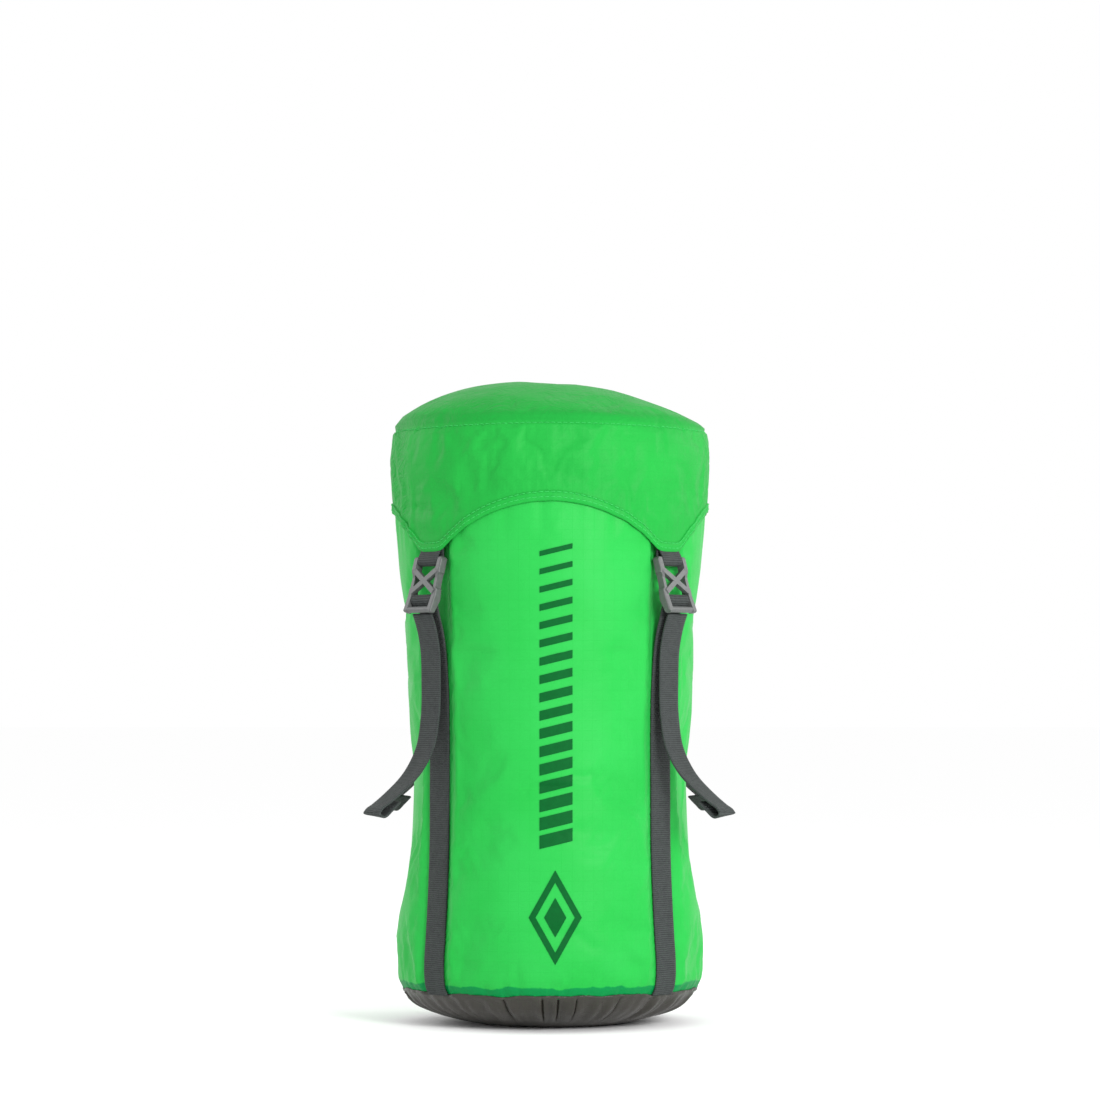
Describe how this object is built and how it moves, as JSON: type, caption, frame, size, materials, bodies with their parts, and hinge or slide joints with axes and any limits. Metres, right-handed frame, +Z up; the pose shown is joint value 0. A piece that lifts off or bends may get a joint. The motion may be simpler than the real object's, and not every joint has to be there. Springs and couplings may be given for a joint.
{
  "type": "compression stuff sack",
  "caption": "Stuffed cylindrical fabric sack with a floating scalloped cap, drawcord throat, webbing compression straps and ladder-lock buckles.",
  "frame": {"origin": "centre of the flat under the base, on the surface that the sack stands on", "axes": "+Z up along the sack's axis, -Y to the front, +X to the right seen from the front"},
  "size_m": [0.1852, 0.1652, 0.332],
  "materials": {
    "body_fabric": "bright green coated ripstop nylon, satin, slightly translucent",
    "cap_fabric": "green ripstop nylon, satin",
    "base_fabric": "dark grey-brown coated polyester, glossy",
    "binding": "folded seam allowance, matt green",
    "webbing": "dark grey woven polypropylene webbing, matt",
    "buckle_plastic": "mid-grey moulded acetal, fine grain",
    "eyelet_metal": "blackened steel",
    "print_ink": "dark green screen print",
    "thread": "sewing thread"
  },
  "bodies": {
    "sack": {"base_panel": "base_fabric", "base_seam_binding": "binding", "body_tube": "body_fabric", "back_seam": "binding", "strap_front_left": "webbing", "strap_front_right": "webbing", "strap_rear_left": "webbing", "strap_rear_right": "webbing"},
    "throat": {"throat_collar": "body_fabric", "drawcord_channel": "body_fabric", "drawcord_eyelet": "eyelet_metal"},
    "cap": {"cap_crown": "cap_fabric", "cap_skirt": "cap_fabric", "cap_edge_binding": "cap_fabric", "cap_seam_binding": "binding", "tab_front_left": "webbing", "tab_front_right": "webbing", "tab_rear_left": "webbing", "tab_rear_right": "webbing"},
    "buckle_front_left": {"buckle_front_left": "buckle_plastic", "strap_wrap_front_left": "webbing"},
    "tail_front_left": {"strap_tail_front_left": "webbing"},
    "buckle_front_right": {"buckle_front_right": "buckle_plastic", "strap_wrap_front_right": "webbing"},
    "tail_front_right": {"strap_tail_front_right": "webbing"},
    "buckle_rear_left": {"buckle_rear_left": "buckle_plastic", "strap_wrap_rear_left": "webbing"},
    "tail_rear_left": {"strap_tail_rear_left": "webbing"},
    "buckle_rear_right": {"buckle_rear_right": "buckle_plastic", "strap_wrap_rear_right": "webbing"},
    "tail_rear_right": {"strap_tail_rear_right": "webbing"}
  },
  "joints": [
    {"name": "compress", "type": "slide", "parent": "sack", "child": "throat", "axis": [0, 0, 1], "range_m": [-0.045, 0], "deforming": ["body_tube", "back_seam", "strap_front_left", "strap_front_right", "strap_rear_left", "strap_rear_right"]},
    {"name": "cap_lift", "type": "slide", "parent": "throat", "child": "cap", "axis": [0, 0, 1], "range_m": [0, 0.07], "deforming": ["strap_front_left", "strap_front_right", "strap_rear_left", "strap_rear_right"]},
    {"name": "buckle_swing_front_left", "type": "hinge", "parent": "cap", "child": "buckle_front_left", "pos_m": [-0.06033, -0.053, 0.2366], "axis": [-0.66, 0.7513, 0], "range_deg": [0, 60]},
    {"name": "tail_swing_front_left", "type": "hinge", "parent": "buckle_front_left", "child": "tail_front_left", "pos_m": [-0.06453, -0.05669, 0.2097], "axis": [-0.66, 0.7513, 0], "range_deg": [0, 70]},
    {"name": "buckle_swing_front_right", "type": "hinge", "parent": "cap", "child": "buckle_front_right", "pos_m": [0.06033, -0.053, 0.2366], "axis": [-0.66, -0.7513, 0], "range_deg": [0, 60]},
    {"name": "tail_swing_front_right", "type": "hinge", "parent": "buckle_front_right", "child": "tail_front_right", "pos_m": [0.06453, -0.05669, 0.2097], "axis": [-0.66, -0.7513, 0], "range_deg": [0, 70]},
    {"name": "buckle_swing_rear_left", "type": "hinge", "parent": "cap", "child": "buckle_rear_left", "pos_m": [-0.06033, 0.053, 0.2366], "axis": [0.66, 0.7513, 0], "range_deg": [0, 60]},
    {"name": "tail_swing_rear_left", "type": "hinge", "parent": "buckle_rear_left", "child": "tail_rear_left", "pos_m": [-0.06453, 0.05669, 0.2097], "axis": [0.66, 0.7513, 0], "range_deg": [0, 70]},
    {"name": "buckle_swing_rear_right", "type": "hinge", "parent": "cap", "child": "buckle_rear_right", "pos_m": [0.06033, 0.053, 0.2366], "axis": [0.66, -0.7513, 0], "range_deg": [0, 60]},
    {"name": "tail_swing_rear_right", "type": "hinge", "parent": "buckle_rear_right", "child": "tail_rear_right", "pos_m": [0.06453, 0.05669, 0.2097], "axis": [0.66, -0.7513, 0], "range_deg": [0, 70]}
  ]
}
